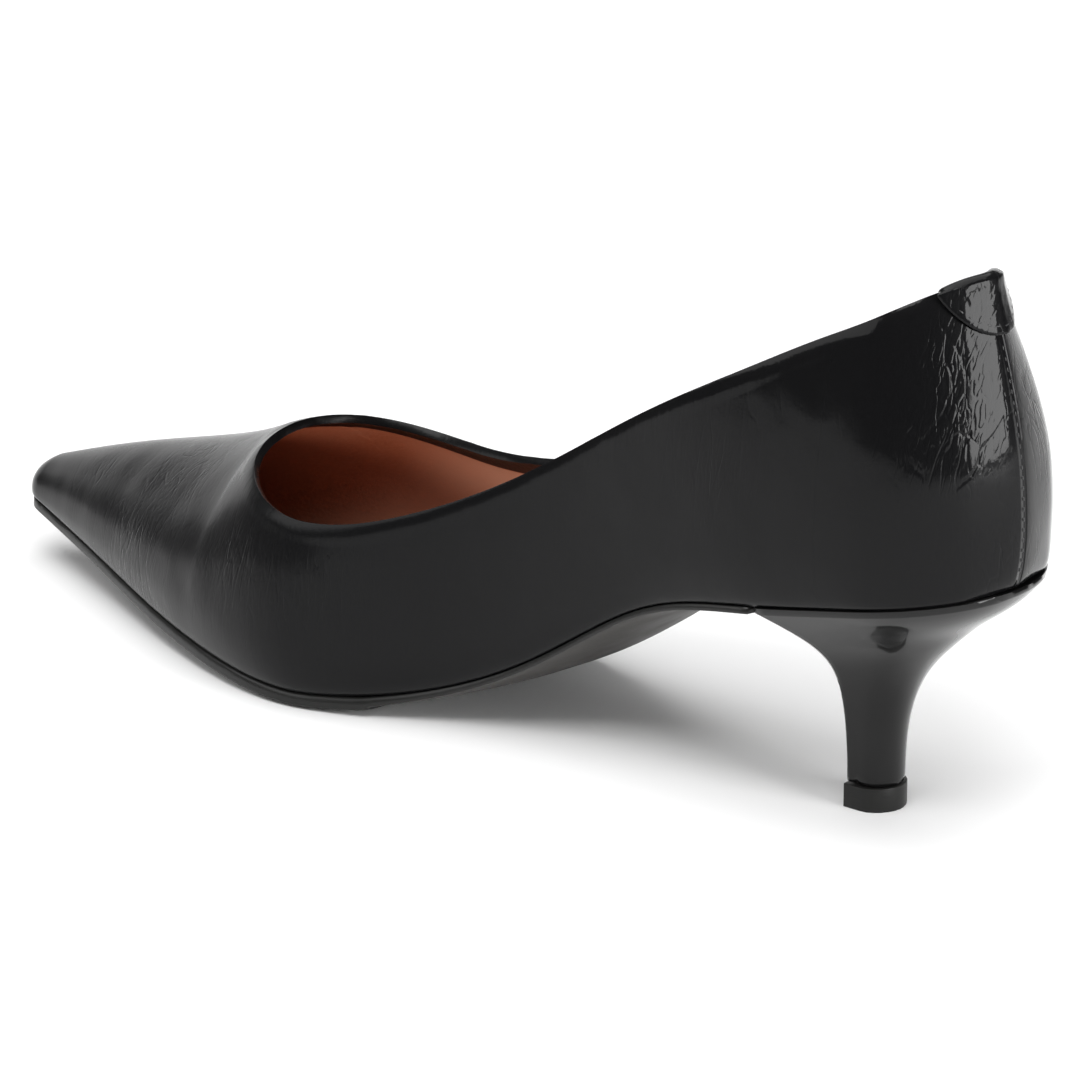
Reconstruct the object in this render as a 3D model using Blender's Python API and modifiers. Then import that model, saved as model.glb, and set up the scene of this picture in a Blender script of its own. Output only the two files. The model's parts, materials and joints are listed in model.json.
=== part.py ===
"""Pointed court shoe for the right foot, on a low curved heel. Metres, +Z up, +Y to the toe.

The inner, arch side of the foot is -X and the outer side is +X. The shoe is worked out along its
length: y runs from the back of the counter to the toe, and 'along' is its share of LENGTH. The round
toe tip ends a little past LENGTH. The origin is on the floor, in the middle of the heel's top piece.

The upper's outer face is a row of ribs. They fan round the back of the heel, stand across the foot
along its sides, and fan round the toe tip. Each rib runs from the lasting margin under the foot,
over the feather edge, up the wall, and ends at the topline or on the crest of the vamp.
"""

from collections import namedtuple
from math import asin, atan, cos, pi, sin, sqrt

import bmesh
import bpy
import numpy as np
from mathutils import Vector

# The last
LENGTH = 0.262
BALL_WIDTH = 0.070
HEEL_RISE = 0.050
TOE_SPRING = 0.0097
TOE_SWING = 0.005
BELLY = 0.0025
HEEL_AXIS = 0.0275
TOE_REACH = 0.005
TOE_AXIS = LENGTH - TOE_REACH

# The upper
BACK_HEIGHT = 0.0622
VAMP_HEIGHT = 0.0448
VAMP_LENGTH = 0.0745
THROAT = LENGTH - VAMP_LENGTH
THROAT_CURVE = 0.032
TOPLINE_LEAN = 0.0105
WALL = 0.0018
EDGE_ROUND = 0.0013
LASTING_MARGIN = 0.006
MARGIN_AT_TOE = 0.55  # most of the half width that the margin takes
SEAM_LAP = 0.0006
SEAM_LAP_WIDTH = 0.008
SEAM_EDGE = 0.00035

# The sole, heel and trim
SOLE = 0.0026
TREAD_START = 0.1425
TREAD_STEP = 0.0006
STEP_RUN = 0.0003
INSOLE = 0.002
INSOLE_CLEARANCE = 0.0006
HEEL_BREAST = 0.050
NECK_CENTRE = 0.0339
NECK_LENGTH = 0.0088
NECK_WIDTH = 0.0112
TOP_PIECE = 0.005
TOP_PIECE_PROUD = 0.0004
TAB_DEPTH = 0.0112
TAB_HALF_WIDTH = 0.0122
TAB_THICKNESS = 0.0008
TAB_END = 0.0008
TAB_ROUNDING = 1.8  # power of the tab's lower edge
GAP = 0.0003

# Half widths of the feather edge, from the spine, as shares of BALL_WIDTH
OUTLINE = (
    # along, inner, outer
    (0.105, 0.332, 0.400),
    (0.200, 0.332, 0.357),
    (0.300, 0.301, 0.358),
    (0.400, 0.295, 0.367),
    (0.500, 0.360, 0.417),
    (0.600, 0.498, 0.504),
    (0.680, 0.480, 0.506),
    (0.760, 0.395, 0.444),
    (0.840, 0.285, 0.330),
    (0.920, 0.180, 0.192),
    (0.980, 0.106, 0.094),
)

# Rise of the feather edge over the tread: arch as a share of HEEL_RISE, spring of TOE_SPRING
PROFILE = (
    # along, inner arch, outer arch, spring
    (0.000, 1.000, 1.000, 0.00),
    (0.105, 0.909, 0.909, 0.00),
    (0.200, 0.809, 0.803, 0.00),
    (0.300, 0.670, 0.634, 0.00),
    (0.400, 0.326, 0.243, 0.00),
    (0.500, 0.078, 0.020, 0.00),
    (0.600, 0.000, 0.000, 0.00),
    (0.700, 0.000, 0.000, 0.17),
    (0.800, 0.000, 0.000, 0.40),
    (0.900, 0.000, 0.000, 0.71),
    (1.000, 0.000, 0.000, 1.00),
)

# How far the wall stands out past the feather edge, as a share of BELLY
BELLIES = (
    # along, belly
    (0.000, 0.38),
    (0.105, 0.68),
    (0.300, 0.96),
    (0.450, 1.00),
    (0.600, 0.98),
    (0.750, 0.83),
    (0.900, 0.50),
    (1.000, 0.09),
)

# Height of the topline over the feather edge, as a share of BACK_HEIGHT
TOPLINE = (
    # along, inner, outer
    (0.000, 1.000, 1.000),
    (0.105, 0.934, 0.865),
    (0.200, 0.800, 0.777),
    (0.300, 0.670, 0.686),
    (0.400, 0.665, 0.636),
    (0.500, 0.638, 0.645),
    (0.600, 0.601, 0.601),
)

# Half widths of the opening behind its rounded front, from the spine, as shares of BALL_WIDTH
OPENING = (
    # along, inner, outer
    (0.105, 0.268, 0.236),
    (0.300, 0.345, 0.345),
    (0.500, 0.440, 0.378),
    (0.715, 0.492, 0.429),
)

# Height of the vamp's crest over the feather edge, as a share of VAMP_HEIGHT
CREST = (
    # along, height
    (0.620, 1.450),
    (0.700, 1.000),
    (0.800, 0.691),
    (0.900, 0.455),
    (0.980, 0.239),
)

# Sideways run of the spine as a share of TOE_SWING
SPINE = (
    # along, swing
    (0.000, 0.00),
    (0.300, 0.00),
    (0.700, 0.00),
    (1.000, 1.00),
)

# Section of the sole: side and full are thicknesses as shares of SOLE, and flat is the share of the
# half width that lies flat underneath, inside the bevel
SOLE_SECTION = (
    # along, side, full, flat
    (0.190, 0.55, 1.10, 0.40),
    (0.300, 0.50, 1.20, 0.40),
    (0.400, 0.50, 1.25, 0.45),
    (0.500, 0.62, 1.15, 0.70),
    (0.560, 0.80, 1.10, 0.93),
    (0.620, 0.80, 1.14, 0.94),
    (0.680, 0.80, 1.10, 0.94),
    (0.850, 0.66, 0.85, 0.90),
    (1.000, 0.52, 0.65, 0.80),
)

# Flare of the heel from its neck, 0, to its seat, 1
HEEL_FLARE = (
    # level, front, back, width
    (0.00, 0.00, 0.00, 0.00),
    (0.20, 0.01, 0.01, 0.01),
    (0.40, 0.04, 0.08, 0.05),
    (0.55, 0.05, 0.21, 0.14),
    (0.70, 0.15, 0.45, 0.29),
    (0.80, 0.32, 0.63, 0.48),
    (0.88, 0.55, 0.82, 0.68),
    (0.95, 0.79, 0.94, 0.87),
    (1.00, 1.00, 1.00, 1.00),
)

# Form of the wall: how full its sections are, where the belly is widest, and how round the heel is
# in plan, from an ellipse at the seat, 2, to a narrow back at the topline
BACK_FULLNESS = 2.25
VAMP_FULLNESS = 1.8
FULLNESS_FROM = 0.35
FULLNESS_TO = 0.70
BELLY_LEVEL = 0.27
HIGHEST_BELLY = 0.016
HOOK = 0.52
HOOK_REACH = 0.30
SEAT_PLAN = 2.0
BELLY_PLAN = 1.85
TOPLINE_PLAN = 1.4

# Ribs and rows
HEEL_RIBS = 6
QUARTER_RIBS = 12
THROAT_RIBS = 8
VAMP_RIBS = 9
TOE_RIBS = 5
BELLY_ROWS = 3
WALL_ROWS = 10
HEEL_LEVELS = 14
LEVEL_CROWDING = 1.5  # power that crowds the heel's levels at its flare
BREAST_COLUMNS = 4
TAB_COLUMNS = 14
TAB_ROWS = 5
TAB_SAMPLES = 40  # heights at which the wall under the tab is worked out
RIB_ROOM = 0.002  # least distance between two ribs of the sole
SLOPE_STEP = 0.001
SMOOTH_ANGLE = pi / 5
WELD = 0.000001

INNER = -1
OUTER = 1

Rib = namedtuple("Rib", "side x y turn feather belly along")


def natural_spline(places, values):
    """The smooth curve through the values, as a function of the place."""
    places = np.array(places, float)
    values = np.array(values, float)
    steps = np.diff(places)
    rises = np.diff(values) / steps
    system = np.eye(len(places))
    bends = np.zeros(len(places))
    for i in range(1, len(places) - 1):
        system[i, i - 1] = steps[i - 1]
        system[i, i] = 2 * (steps[i - 1] + steps[i])
        system[i, i + 1] = steps[i]
        bends[i] = 6 * (rises[i] - rises[i - 1])
    bends = np.linalg.solve(system, bends)

    def curve(place):
        i = int(np.clip(np.searchsorted(places, place) - 1, 0, len(steps) - 1))
        after = place - places[i]
        before = places[i + 1] - place
        step = steps[i]
        cubic = (bends[i] * before**3 + bends[i + 1] * after**3) / (6 * step)
        start = (values[i] / step - bends[i] * step / 6) * before
        end = (values[i + 1] / step - bends[i + 1] * step / 6) * after
        return float(cubic + start + end)

    return curve


def column(table, index):
    """One column of a table as a curve over its first column."""
    return natural_spline([row[0] for row in table], [row[index] for row in table])


outline = {INNER: column(OUTLINE, 1), OUTER: column(OUTLINE, 2)}
arch = {INNER: column(PROFILE, 1), OUTER: column(PROFILE, 2)}
spring = column(PROFILE, 3)
bellies = column(BELLIES, 1)
opening = {INNER: column(OPENING, 1), OUTER: column(OPENING, 2)}
crests = column(CREST, 1)
swing = column(SPINE, 1)
sole_side = column(SOLE_SECTION, 1)
sole_full = column(SOLE_SECTION, 2)
sole_flat = column(SOLE_SECTION, 3)
heel_front = column(HEEL_FLARE, 1)
heel_back = column(HEEL_FLARE, 2)
heel_width = column(HEEL_FLARE, 3)


def half_width(side, y):
    return BALL_WIDTH * outline[side](np.clip(y, HEEL_AXIS, TOE_AXIS) / LENGTH)


def feather_height(side, y):
    """Height of the feather edge. The tread under it is flat where both shares are nought."""
    along = y / LENGTH
    return SOLE + max(0.0, arch[side](along)) * HEEL_RISE + max(0.0, spring(along)) * TOE_SPRING


def belly_reach(y):
    return BELLY * bellies(y / LENGTH)


def spine(y):
    return TOE_SWING * swing(y / LENGTH)


def crest_height(y):
    feather = (feather_height(INNER, y) + feather_height(OUTER, y)) / 2
    return feather + VAMP_HEIGHT * crests(y / LENGTH)


def topline_curve(side):
    """Height of the topline along one side, joined to the crest at the throat."""
    places = [row[0] for row in TOPLINE] + [THROAT / LENGTH]
    heights = [
        feather_height(side, row[0] * LENGTH) + row[1 if side == INNER else 2] * BACK_HEIGHT
        for row in TOPLINE
    ]
    return natural_spline(places, heights + [crest_height(THROAT)])


topline = {INNER: topline_curve(INNER), OUTER: topline_curve(OUTER)}


def underside(x, y):
    """Height of the last's underside, which tilts from the inner to the outer feather edge."""
    inner = half_width(INNER, y)
    outer = half_width(OUTER, y)
    share = float(np.clip((x - spine(y) + inner) / (inner + outer), 0, 1))
    return feather_height(INNER, y) * (1 - share) + feather_height(OUTER, y) * share


def off_last(x, y, rise):
    """A point at right angles off the last's underside, above it or, with rise < 0, below."""
    rise_over = underside(x, y + SLOPE_STEP) - underside(x, y - SLOPE_STEP)
    slope = rise_over / (2 * SLOPE_STEP)
    steep = sqrt(1 + slope * slope)
    return Vector((x, y - rise * slope / steep, underside(x, y) + rise / steep))


def oval(turn, back, side, plan):
    """Radius of a fan that reaches back and to the side, at an angle turned from straight back."""
    return ((max(0.0, cos(turn)) / back) ** plan + (sin(turn) / side) ** plan) ** (-1 / plan)


def heel_rib(side, turn):
    width = half_width(side, HEEL_AXIS)
    feather = oval(turn, HEEL_AXIS - belly_reach(0), width, SEAT_PLAN)
    belly = oval(turn, HEEL_AXIS, width + belly_reach(HEEL_AXIS), BELLY_PLAN)
    return Rib(side, 0.0, HEEL_AXIS, turn, feather, belly, HEEL_AXIS - belly * cos(turn))


def side_rib(side, y):
    width = half_width(side, y)
    return Rib(side, spine(y), y, pi / 2, width, width + belly_reach(y), y)


def toe_round(side):
    """How the side tapers where the fan starts, and the radius of a round tip that meets it."""
    width = half_width(side, TOE_AXIS)
    taper = atan((half_width(side, TOE_AXIS - SLOPE_STEP) - width) / SLOPE_STEP)
    return taper, width * cos(taper)


def toe_rib(side, turn):
    """The fan is round, its ends meet the tapering sides and both sides meet at its front."""
    taper, radius = toe_round(side)
    front = (toe_round(INNER)[1] + toe_round(OUTER)[1]) / 2
    radius += (front - radius) * (turn / (pi / 2) - 1)
    radius /= cos(max(0.0, pi / 2 + taper - turn))
    belly = radius + belly_reach(TOE_AXIS)
    return Rib(side, spine(TOE_AXIS), TOE_AXIS, turn, radius, belly, TOE_AXIS - radius * cos(turn))


def side_places():
    """Where the ribs stand along the side. They crowd at the rounded front of the opening."""
    throat_back = THROAT - THROAT_CURVE
    quarter = np.linspace(HEEL_AXIS, throat_back, QUARTER_RIBS, endpoint=False)
    turns = np.linspace(0, pi / 2, THROAT_RIBS, endpoint=False)
    throat = [THROAT - THROAT_CURVE * (1 - sin(turn)) for turn in turns]
    vamp = np.linspace(THROAT, TOE_AXIS, VAMP_RIBS)
    return [float(y) for y in (*quarter, *throat, *vamp)]


def side_ribs(side):
    """The ribs from beside the heel to the toe tip."""
    turns = np.linspace(pi / 2, pi, TOE_RIBS + 1)[1:]
    return [side_rib(side, y) for y in side_places()] + [toe_rib(side, float(t)) for t in turns]


def fan_turns():
    return [pi / 2 * k / HEEL_RIBS for k in range(1, HEEL_RIBS)]


def all_ribs():
    """From the toe tip along the inner side, round the heel and back along the outer side."""
    lap_turn = SEAM_LAP_WIDTH / 3 / HEEL_AXIS
    inner = [heel_rib(INNER, turn) for turn in [0.0, lap_turn] + fan_turns()] + side_ribs(INNER)
    seam_turn = SEAM_EDGE / HEEL_AXIS
    outer = [heel_rib(OUTER, turn) for turn in [seam_turn] + fan_turns()] + side_ribs(OUTER)
    return inner[::-1] + outer


def place(rib, radius, z):
    """A point of the rib's plane in the shoe's own coordinates."""
    x = rib.x + rib.side * radius * sin(rib.turn)
    return Vector((x, rib.y - radius * cos(rib.turn), z))


def rib_ends(rib):
    """Height of the rib's foot, of its top, and the half width of its top."""
    foot = feather_height(rib.side, rib.along)
    if rib.along >= THROAT:
        return foot, crest_height(min(rib.along, TOE_AXIS)), 0.0
    top = topline[rib.side](rib.along / LENGTH)
    if rib.turn < pi / 2:
        beside = BALL_WIDTH * opening[rib.side](HEEL_AXIS / LENGTH)
        return foot, top, oval(rib.turn, HEEL_AXIS - TOPLINE_LEAN, beside, TOPLINE_PLAN)
    into_curve = min(1.0, (THROAT - rib.along) / THROAT_CURVE)
    width = BALL_WIDTH * opening[rib.side](rib.along / LENGTH)
    return foot, top, width * sqrt(1 - (1 - into_curve) ** 2)


def lap(rib):
    """How far the wall stands out where the quarters lap at the back seam."""
    if rib.turn >= pi / 2:
        return 0.0
    return SEAM_LAP * max(0.0, 1 - rib.belly * rib.turn / SEAM_LAP_WIDTH) ** 2


def tip_fall():
    """Slope of the crest where the toe's fan starts. The fan keeps it and then rounds off."""
    return (crest_height(TOE_AXIS) - crest_height(TOE_AXIS - SLOPE_STEP)) / SLOPE_STEP


def section(rib, wall_rows):
    """The wall of one rib from just over the feather edge to its top, as radii and heights.

    The belly is a parabola out from the feather edge. Above it the wall is an oval that is cut off
    at the topline, and towards the back of the heel it bends into the counter's hooked line.
    """
    foot, top, opening_radius = rib_ends(rib)
    level = BELLY_LEVEL * (top - foot)
    if rib.along < THROAT:
        level = min(level, HIGHEST_BELLY)
    widest = foot + level
    opening_radius = min(opening_radius, rib.belly - WALL)
    blend = float(np.clip((rib.along / LENGTH - FULLNESS_FROM) / (FULLNESS_TO - FULLNESS_FROM), 0, 1))
    blend = blend * blend * (3 - 2 * blend)
    fullness = BACK_FULLNESS + (VAMP_FULLNESS - BACK_FULLNESS) * blend
    cut = (1 - (opening_radius / rib.belly) ** fullness) ** (1 / fullness)
    hook = HOOK * max(0.0, 1 - rib.along / LENGTH / HOOK_REACH)
    points = []
    for share in np.linspace(EDGE_ROUND / level, 1, BELLY_ROWS, endpoint=False):
        out = rib.feather + (rib.belly - rib.feather) * (1 - (1 - share) ** 2)
        points.append((out, foot + share * level))
    for angle in np.linspace(0, asin(min(1.0, cut ** (fullness / 2))), wall_rows):
        cut_oval = rib.belly * max(0.0, cos(angle)) ** (2 / fullness)
        up = sin(angle) ** (2 / fullness) / cut
        hooked = rib.belly - (rib.belly - opening_radius) * up * up * (3 - 2 * up)
        points.append((cut_oval * (1 - hook) + hooked * hook, widest + (top - widest) * up))
    if opening_radius == 0.0:
        points[-1] = (0.0, top)
    forward = -cos(rib.turn) if rib.turn > pi / 2 else 0.0
    return [(out, z + tip_fall() * forward * out * (1 - out / rib.belly)) for out, z in points]


def outer_face(rib):
    """The rib's points on the outer face, from the lasting margin up."""
    margin = min(LASTING_MARGIN, MARGIN_AT_TOE * rib.feather)
    points = []
    for radius in (rib.feather - margin, rib.feather - EDGE_ROUND):
        point = place(rib, radius, 0.0)
        point.z = underside(point.x, point.y)
        points.append(point)
    raised = lap(rib) if rib.side == INNER else 0.0
    for radius, z in section(rib, WALL_ROWS):
        points.append(place(rib, radius + raised, z))
    return points


def lining_radius(rib):
    """Half width of the insole along the rib."""
    return rib.feather - WALL - INSOLE_CLEARANCE


def add_rows(bm, rows):
    """Vertices for a grid of points, and the faces between its rows."""
    rows = [[bm.verts.new(point) for point in row] for row in rows]
    for one, two in zip(rows, rows[1:]):
        for a, b, c, d in zip(one, two, two[1:], one[1:]):
            bm.faces.new((a, b, c, d))
    return rows


def mesh_object(name, bm, material, closed):
    """A named object from the welded mesh."""
    bmesh.ops.remove_doubles(bm, verts=bm.verts, dist=WELD)
    if closed:
        bmesh.ops.recalc_face_normals(bm, faces=bm.faces)
    mesh = bpy.data.meshes.new(name)
    bm.to_mesh(mesh)
    bm.free()
    return finish(name, mesh, material)


def finish(name, data, material):
    obj = bpy.data.objects.new(name, data)
    obj.data.materials.append(material)
    bpy.data.collections["court_shoe"].objects.link(obj)
    obj.parent = bpy.data.objects["heel_tip_origin"]
    return obj


def smooth(obj):
    obj.data.shade_smooth()
    obj.data.set_sharp_from_angle(angle=SMOOTH_ANGLE)


def solidify(obj, thickness, offset):
    modifier = obj.modifiers.new("Wall", "SOLIDIFY")
    modifier.thickness = thickness
    modifier.offset = offset
    modifier.use_even_offset = True


def finish_of(name, colour, roughness, metallic=0.0):
    """A plain coloured surface."""
    material = bpy.data.materials.new(name)
    material.use_nodes = True
    surface = material.node_tree.nodes["Principled BSDF"]
    surface.inputs["Base Color"].default_value = (*colour, 1.0)
    surface.inputs["Roughness"].default_value = roughness
    surface.inputs["Metallic"].default_value = metallic
    return material


def make_upper():
    """A shell lasted under the insole: the margin turns in, and the topline is open."""
    bm = bmesh.new()
    add_rows(bm, [outer_face(rib) for rib in all_ribs()])
    obj = mesh_object("upper", bm, finish_of("black_patent_leather", (0.012, 0.012, 0.013), 0.22), False)
    smooth(obj)
    solidify(obj, WALL, -1)


def make_insole():
    """Lies on the lasting margin, a hair inside the wall."""
    bm = bmesh.new()
    rows = []
    for rib in all_ribs():
        row = []
        for share in (1.0, 0.5, 0.0):
            flat = place(rib, lining_radius(rib) * share, 0.0)
            row.append(off_last(flat.x, flat.y, WALL + GAP))
        rows.append(row)
    add_rows(bm, rows)
    obj = mesh_object("insole", bm, finish_of("tan_sock", (0.30, 0.11, 0.05), 0.55), False)
    smooth(obj)
    solidify(obj, INSOLE, 1)


def sole_places():
    """Where the sole's ribs stand: the upper's own, with two close ones at the tread's back edge."""
    start = HEEL_BREAST + GAP
    places = [y for y in side_places() if y > start + RIB_ROOM and abs(y - TREAD_START) > RIB_ROOM]
    return sorted(places + [start, TREAD_START - STEP_RUN / 2, TREAD_START + STEP_RUN / 2])


def sole_depth(y, thickness):
    """How far below the last the sole reaches. The waist is thinner than the tread by a step."""
    return SOLE * thickness(y / LENGTH) - (TREAD_STEP if y < TREAD_START else 0.0)


def sole_row(rib):
    """From the spine out along the top, down the edge and back in along the bottom."""
    level_part = sole_flat(rib.along / LENGTH)
    corners = [(0, None), (1, None), (1, sole_side), (level_part, sole_full), (0, sole_full)]
    row = []
    for share, thickness in corners:
        flat = place(rib, rib.feather * share, 0.0)
        depth = sole_depth(flat.y, thickness) if thickness else GAP
        point = off_last(flat.x, flat.y, -depth)
        point.z = max(0.0, point.z)
        row.append(point)
    return row


def make_outsole():
    """From the heel breast to the toe tip: a bevelled waist, a thicker tread and a sprung toe."""
    bm = bmesh.new()
    turns = np.linspace(pi / 2, pi, TOE_RIBS + 1)[1:]
    ends = []
    for side in (INNER, OUTER):
        ribs = [side_rib(side, y) for y in sole_places()]
        ribs += [toe_rib(side, float(turn)) for turn in turns]
        rows = add_rows(bm, [sole_row(rib) for rib in ribs])
        ends.append(rows[0])
    for end in ends:
        bm.faces.new(end)
    obj = mesh_object("outsole", bm, finish_of("black_sole", (0.02, 0.02, 0.02), 0.45), True)
    smooth(obj)


def seat_columns(side):
    """The heel's outline at its seat, from the centre back to the breast.

    Each has its place, and its half width at the neck, where the outline is a round-backed D.
    """
    width = half_width(side, HEEL_AXIS)
    columns = []
    for turn in [0.0] + fan_turns():
        rib = heel_rib(side, turn)
        flat = place(rib, rib.feather, 0.0)
        columns.append((flat.x / width, flat.y, side * sin(turn)))
    for y in np.linspace(HEEL_AXIS, HEEL_BREAST, BREAST_COLUMNS):
        columns.append((side * half_width(side, y) / width, float(y), side * 1.0))
    return columns


def heel_ring(side, level):
    """One half of the heel's outline at a level, 0 at the neck and 1 at the seat."""
    seat_back = belly_reach(0)
    back = NECK_CENTRE - NECK_LENGTH / 2
    back += (seat_back - back) * heel_back(level)
    front = NECK_CENTRE + NECK_LENGTH / 2
    front += (HEEL_BREAST - front) * heel_front(level)
    width = NECK_WIDTH / 2
    width += (half_width(side, HEEL_AXIS) - width) * heel_width(level)
    ring = []
    for seat_share, seat_y, neck_share in seat_columns(side):
        share = neck_share + (seat_share - neck_share) * level
        seat_x = seat_share * half_width(side, HEEL_AXIS)
        y = back + (front - back) * (seat_y - seat_back) / (HEEL_BREAST - seat_back)
        bottom = TOP_PIECE + GAP
        top = underside(seat_x, seat_y) - GAP
        ring.append(Vector((width * share, y, bottom + (top - bottom) * level)))
    return ring


def make_heel():
    """A loft from the round-backed neck to the seat, which tilts with the foot."""
    bm = bmesh.new()
    levels = [1 - (1 - k / HEEL_LEVELS) ** LEVEL_CROWDING for k in range(HEEL_LEVELS + 1)]
    rows = []
    for level in levels:
        inner = heel_ring(INNER, level)
        outer = heel_ring(OUTER, level)
        rows.append(outer[::-1] + inner[1:])
    rings = [[bm.verts.new(point) for point in row] for row in rows]
    for one, two in zip(rings, rings[1:]):
        for i, a in enumerate(one):
            j = (i + 1) % len(one)
            bm.faces.new((a, one[j], two[j], two[i]))
    for ring in (rings[0], rings[-1]):
        for i in range(len(ring) // 2):
            bm.faces.new(list(dict.fromkeys((ring[i], ring[i + 1], ring[-2 - i], ring[-1 - i]))))
    obj = mesh_object("heel", bm, finish_of("black_gloss_heel", (0.01, 0.01, 0.01), 0.12), True)
    smooth(obj)


def make_top_piece():
    """The hard lift: the neck's outline, a little proud of it all round."""
    curve = bpy.data.curves.new("top_piece", "CURVE")
    curve.dimensions = "2D"
    curve.fill_mode = "BOTH"
    curve.extrude = TOP_PIECE / 2
    ring = heel_ring(OUTER, 0.0)[::-1] + heel_ring(INNER, 0.0)[1:]
    outline_points = [
        (
            point.x * (1 + 2 * TOP_PIECE_PROUD / NECK_WIDTH),
            NECK_CENTRE + (point.y - NECK_CENTRE) * (1 + 2 * TOP_PIECE_PROUD / NECK_LENGTH),
        )
        for point in ring
    ]
    spline = curve.splines.new("POLY")
    spline.points.add(len(outline_points) - 1)
    for point, (x, y) in zip(spline.points, outline_points):
        point.co = (x, y, 0.0, 1.0)
    spline.use_cyclic_u = True
    obj = finish("top_piece", curve, finish_of("black_top_piece", (0.015, 0.015, 0.015), 0.3))
    obj.location.z = TOP_PIECE / 2


def tab_row(side, turn):
    """The tab's inner face at one angle, from its lower edge to the topline."""
    rib = heel_rib(side, turn)
    points = np.array(section(rib, TAB_SAMPLES))
    radii = points[:, 0] + lap(rib)
    heights = points[:, 1]
    top = heights[-1]
    share = min(1.0, turn / tab_reach())
    depth = TAB_END + (TAB_DEPTH - TAB_END) * (1 - share**TAB_ROUNDING)
    row = []
    for height in np.linspace(top - depth, top, TAB_ROWS):
        radius = float(np.interp(height, heights, radii))
        lower = float(np.interp(height - SLOPE_STEP, heights, radii))
        lean = (lower - radius) / SLOPE_STEP
        steep = sqrt(1 + lean * lean)
        row.append(place(rib, radius + GAP / steep, float(height) + GAP * lean / steep))
    return row


def tab_reach():
    """The angle that the tab covers on each side of the centre back."""
    return TAB_HALF_WIDTH / (HEEL_AXIS - TOPLINE_LEAN)


def make_back_tab():
    """The overlay at the top of the back seam, cut along a round lower edge."""
    bm = bmesh.new()
    turns = np.linspace(0, tab_reach(), TAB_COLUMNS // 2 + 1)
    inner = [tab_row(INNER, float(turn)) for turn in turns]
    outer = [tab_row(OUTER, float(turn)) for turn in turns[1:]]
    add_rows(bm, inner[::-1] + outer)
    obj = mesh_object("back_tab", bm, finish_of("black_patent_tab", (0.012, 0.012, 0.013), 0.2), False)
    smooth(obj)
    solidify(obj, TAB_THICKNESS, 1)


def clear_scene():
    for obj in list(bpy.data.objects):
        bpy.data.objects.remove(obj, do_unlink=True)


def add_origin():
    """The shoe's lengths count from the back of the counter. The origin is under the heel."""
    shoe = bpy.data.collections.new("court_shoe")
    bpy.context.scene.collection.children.link(shoe)
    origin = bpy.data.objects.new("heel_tip_origin", None)
    origin.location.y = -NECK_CENTRE
    shoe.objects.link(origin)


clear_scene()
add_origin()
make_upper()
make_insole()
make_outsole()
make_heel()
make_top_piece()
make_back_tab()
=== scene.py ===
"""A pointed court shoe for the right foot, in black patent leather, on a low curved heel.

The sections follow the shoe as it is put together: the upper with its lining, the back tab, the
stitches, the sock, the sole, the heel and its top piece. The studio comes last.
"""

import json
from math import cos, exp, pi, radians, sin

import bmesh
import bpy
from mathutils import Matrix, Vector
from mathutils.bvhtree import BVHTree
from mathutils.kdtree import KDTree

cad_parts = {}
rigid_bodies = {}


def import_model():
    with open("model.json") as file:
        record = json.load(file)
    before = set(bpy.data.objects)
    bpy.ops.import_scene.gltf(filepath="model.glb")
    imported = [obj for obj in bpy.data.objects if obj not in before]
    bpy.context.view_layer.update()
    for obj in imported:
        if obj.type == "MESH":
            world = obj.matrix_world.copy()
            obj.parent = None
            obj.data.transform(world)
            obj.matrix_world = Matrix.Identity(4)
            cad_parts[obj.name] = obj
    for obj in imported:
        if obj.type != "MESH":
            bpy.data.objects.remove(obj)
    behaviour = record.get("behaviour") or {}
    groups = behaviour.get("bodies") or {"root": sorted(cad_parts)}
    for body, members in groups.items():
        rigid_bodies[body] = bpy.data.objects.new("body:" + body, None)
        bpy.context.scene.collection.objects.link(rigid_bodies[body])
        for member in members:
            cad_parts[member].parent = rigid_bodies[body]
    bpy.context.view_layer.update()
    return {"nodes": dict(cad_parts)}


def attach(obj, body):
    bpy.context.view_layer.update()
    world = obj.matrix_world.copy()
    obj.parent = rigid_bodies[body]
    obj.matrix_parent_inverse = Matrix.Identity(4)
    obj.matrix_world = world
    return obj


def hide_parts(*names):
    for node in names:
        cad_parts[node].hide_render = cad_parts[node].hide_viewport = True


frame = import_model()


# Camera
# A long lens from behind and above, on the inner side of the foot, with the toe to the left.
CAMERA_PLACE = (-1.16943, -0.86464, 0.57909)
CAMERA_LOOKS_ALONG = (0.72949, 0.59393, -0.33925)
CAMERA_LENS_MM = 262.666
CAMERA_FILM_MM = 36
CAMERA_TILT_DEGREES = -0.3248

camera = bpy.data.objects.new("studio_camera", bpy.data.cameras.new("studio_camera"))
camera.data.lens = CAMERA_LENS_MM
camera.data.sensor_width = CAMERA_FILM_MM
camera_forward = Vector(CAMERA_LOOKS_ALONG).normalized()
camera_level = camera_forward.cross(Vector((0, 0, 1))).normalized()
camera_roll = Matrix.Rotation(radians(CAMERA_TILT_DEGREES), 3, camera_forward)
camera_right = camera_roll @ camera_level
camera_up = camera_right.cross(camera_forward)
camera_axes = Matrix((camera_right, camera_up, -camera_forward)).transposed().to_4x4()
camera.matrix_world = Matrix.Translation(CAMERA_PLACE) @ camera_axes
bpy.context.scene.collection.objects.link(camera)
bpy.context.scene.camera = camera


# Upper
# Quarters and vamp of patent leather, lined with tan synthetic leather and lasted over the insole.
# The leather is turned over at the topline, where its facing shows inside as a narrow black band.
MERGE_DISTANCE = 0.00001


def only(*pieces):
    """Select these pieces and nothing else, the first one active."""
    bpy.ops.object.select_all(action="DESELECT")
    for piece in pieces:
        piece.select_set(True)
    bpy.context.view_layer.objects.active = pieces[0]


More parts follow.
